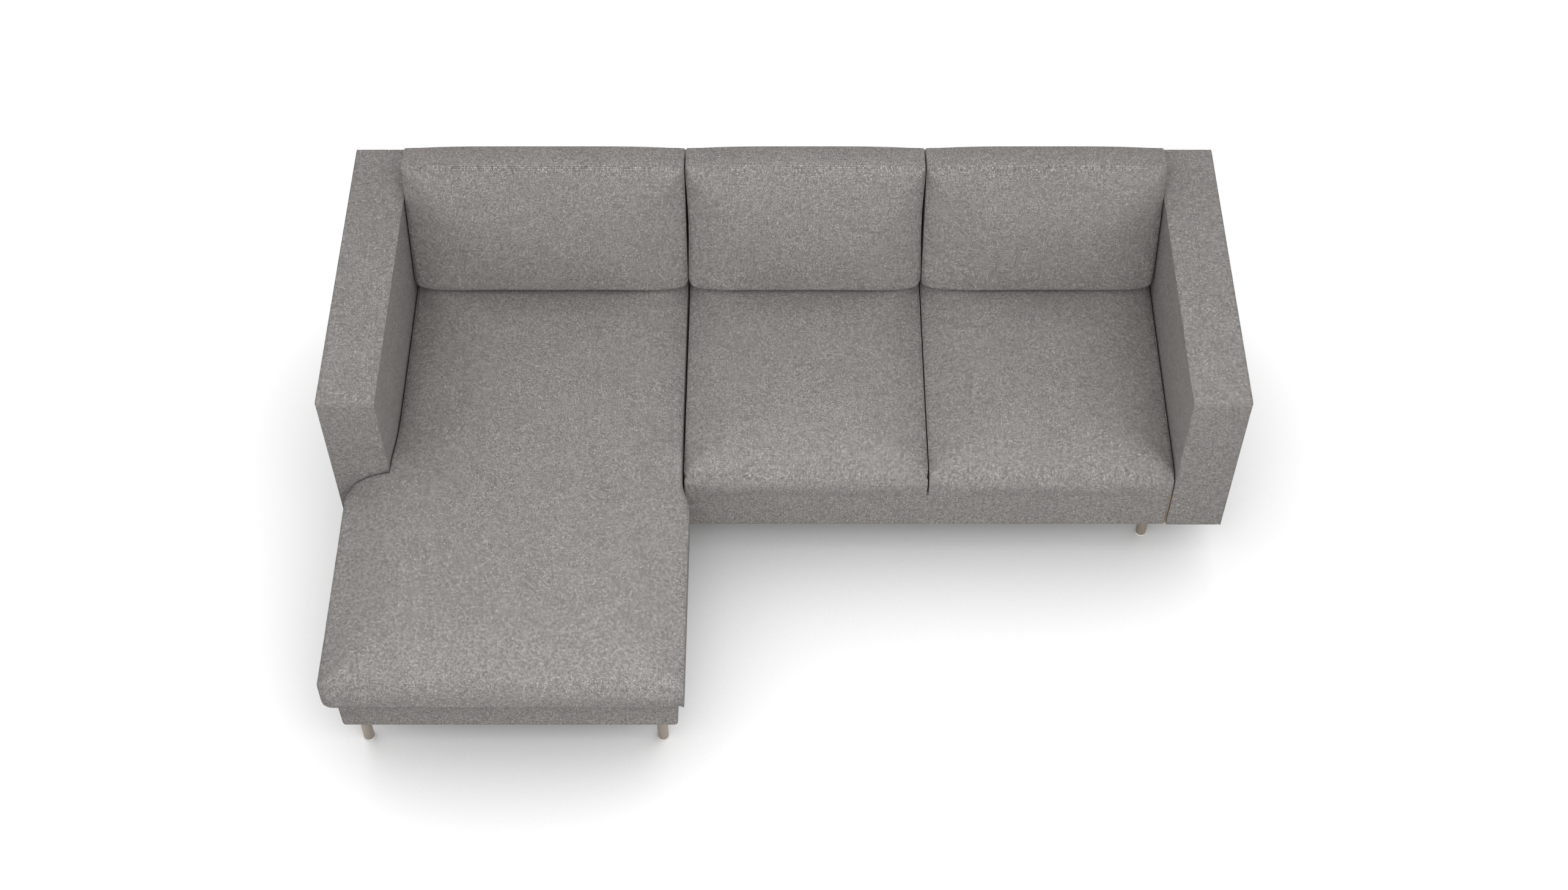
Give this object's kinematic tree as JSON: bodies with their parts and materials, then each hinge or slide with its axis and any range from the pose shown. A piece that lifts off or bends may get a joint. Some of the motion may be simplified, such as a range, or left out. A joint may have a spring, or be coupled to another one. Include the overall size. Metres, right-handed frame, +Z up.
{
  "type": "sectional sofa with chaise",
  "caption": "L-shaped upholstered sofa: a chaise section and a loveseat section joined by drop-on hooks, with loose crowned seat and back cushions on slim tubular legs.",
  "frame": {"origin": "on the floor under the middle of the sofa's outer box", "axes": "+X to the right seen from the front, along the sofa's width; +Y from the front to the back; +Z up"},
  "size_m": [2.56, 1.687, 0.8175],
  "materials": {
    "upholstery": "matte",
    "cushion_fabric": "matte",
    "foam": "matte",
    "timber": "matte",
    "lining": "matte",
    "spring_steel": "satin",
    "leg_metal": "satin",
    "glide_plastic": "matte",
    "zinc_steel": "satin"
  },
  "bodies": {
    "chaise_section": {"chaise_back_cover": "upholstery", "chaise_back_frame": "timber", "chaise_back_padding": "foam", "chaise_base_cover": "upholstery", "chaise_connectors": "zinc_steel", "chaise_cross_rail": "timber", "chaise_deck_cloth": "lining", "chaise_dust_cloth": "lining", "chaise_front_rail": "timber", "chaise_glides": "glide_plastic", "chaise_inner_rail": "timber", "chaise_joint_rail": "timber", "chaise_leg_blocks": "timber", "chaise_leg_plates": "zinc_steel", "chaise_leg_studs": "zinc_steel", "chaise_legs": "leg_metal", "chaise_outer_rail": "timber", "chaise_plate_screws": "zinc_steel", "chaise_rear_rail": "timber", "chaise_return_rail": "timber", "chaise_spring_clips": "spring_steel", "chaise_springs": "spring_steel", "left_arm_cover": "upholstery", "left_arm_frame": "timber", "left_arm_padding": "foam"},
    "loveseat_section": {"loveseat_arm_rail": "timber", "loveseat_back_cover": "upholstery", "loveseat_back_frame": "timber", "loveseat_back_padding": "foam", "loveseat_base_cover": "upholstery", "loveseat_connectors": "zinc_steel", "loveseat_cross_rail": "timber", "loveseat_deck_cloth": "lining", "loveseat_dust_cloth": "lining", "loveseat_front_rail": "timber", "loveseat_glides": "glide_plastic", "loveseat_joint_rail": "timber", "loveseat_leg_blocks": "timber", "loveseat_leg_plates": "zinc_steel", "loveseat_leg_studs": "zinc_steel", "loveseat_legs": "leg_metal", "loveseat_plate_screws": "zinc_steel", "loveseat_rear_rail": "timber", "loveseat_spring_clips": "spring_steel", "loveseat_springs": "spring_steel", "right_arm_cover": "upholstery", "right_arm_frame": "timber", "right_arm_padding": "foam"},
    "chaise_seat": {"chaise_seat_cover": "cushion_fabric", "chaise_seat_core": "foam"},
    "middle_seat": {"middle_seat_cover": "cushion_fabric", "middle_seat_core": "foam"},
    "right_seat": {"right_seat_cover": "cushion_fabric", "right_seat_core": "foam"},
    "left_back_cushion": {"left_back_cushion_cover": "cushion_fabric", "left_back_cushion_core": "foam"},
    "middle_back_cushion": {"middle_back_cushion_cover": "cushion_fabric", "middle_back_cushion_core": "foam"},
    "right_back_cushion": {"right_back_cushion_cover": "cushion_fabric", "right_back_cushion_core": "foam"}
  },
  "joints": [
    {"name": "loveseat_lift", "type": "slide", "parent": "chaise_section", "child": "loveseat_section", "axis": [0, 0, 1], "range_m": [0, 0.06]},
    {"name": "chaise_seat_lift", "type": "slide", "parent": "chaise_section", "child": "chaise_seat", "axis": [0, 0, 1], "range_m": [0, 0.25]},
    {"name": "middle_seat_lift", "type": "slide", "parent": "loveseat_section", "child": "middle_seat", "axis": [0, 0, 1], "range_m": [0, 0.25]},
    {"name": "right_seat_lift", "type": "slide", "parent": "loveseat_section", "child": "right_seat", "axis": [0, 0, 1], "range_m": [0, 0.25]},
    {"name": "left_back_lift", "type": "slide", "parent": "chaise_seat", "child": "left_back_cushion", "axis": [0, 0, 1], "range_m": [0, 0.3]},
    {"name": "middle_back_lift", "type": "slide", "parent": "middle_seat", "child": "middle_back_cushion", "axis": [0, 0, 1], "range_m": [0, 0.3]},
    {"name": "right_back_lift", "type": "slide", "parent": "right_seat", "child": "right_back_cushion", "axis": [0, 0, 1], "range_m": [0, 0.3]}
  ]
}
